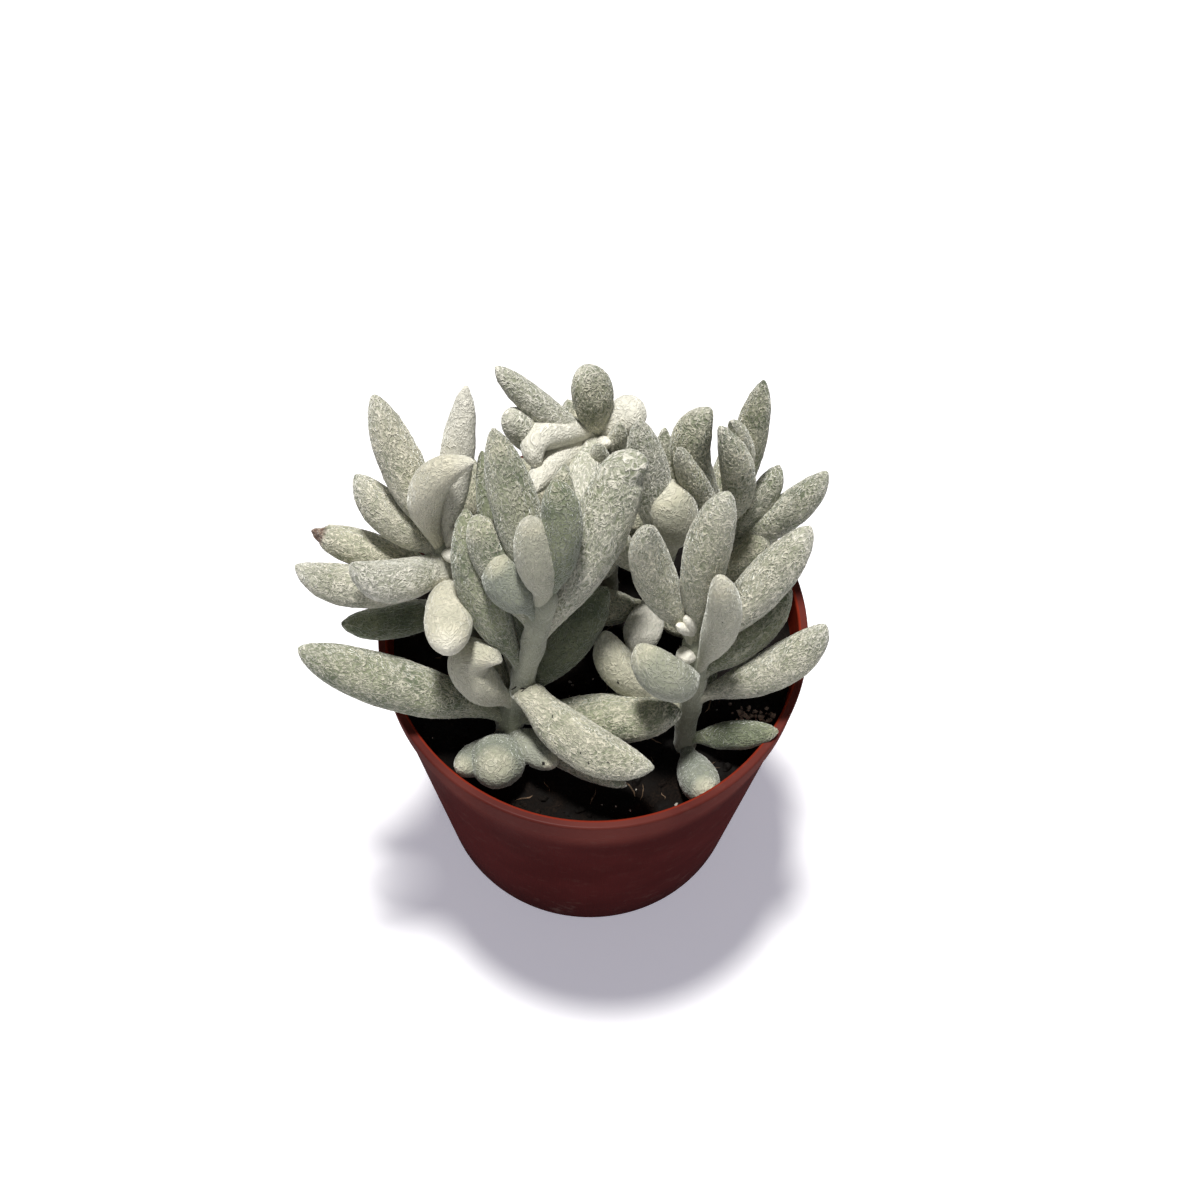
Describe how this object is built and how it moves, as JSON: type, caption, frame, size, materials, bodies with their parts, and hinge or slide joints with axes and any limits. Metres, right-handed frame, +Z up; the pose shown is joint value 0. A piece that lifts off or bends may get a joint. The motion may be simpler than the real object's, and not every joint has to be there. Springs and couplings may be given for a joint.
{
  "type": "potted ghost plant",
  "caption": "Small white-felted succulent with plump pointed leaves on upright stems, growing in a tapered round plastic nursery pot filled with soil.",
  "frame": {"origin": "middle of the pot's underside, on the surface that the pot stands on", "axes": "+Z up along the pot's axis, +X to the right and +Y to the back as the plant is seen from its front"},
  "size_m": [0.1066, 0.09, 0.15],
  "materials": {
    "pot_plastic": "satin moulded plastic, reddish brown outside and brighter terracotta inside",
    "potting_soil": "damp, almost black, crumbly",
    "felted_leaf": "pale grey-green flesh under dense white felt"
  },
  "bodies": {
    "root": {"pot": "pot_plastic", "soil": "potting_soil", "stem_front_left": "felted_leaf", "stem_front_right": "felted_leaf", "stem_left": "felted_leaf", "stem_back": "felted_leaf", "stem_back_right": "felted_leaf", "stem_middle": "felted_leaf"}
  },
  "joints": []
}
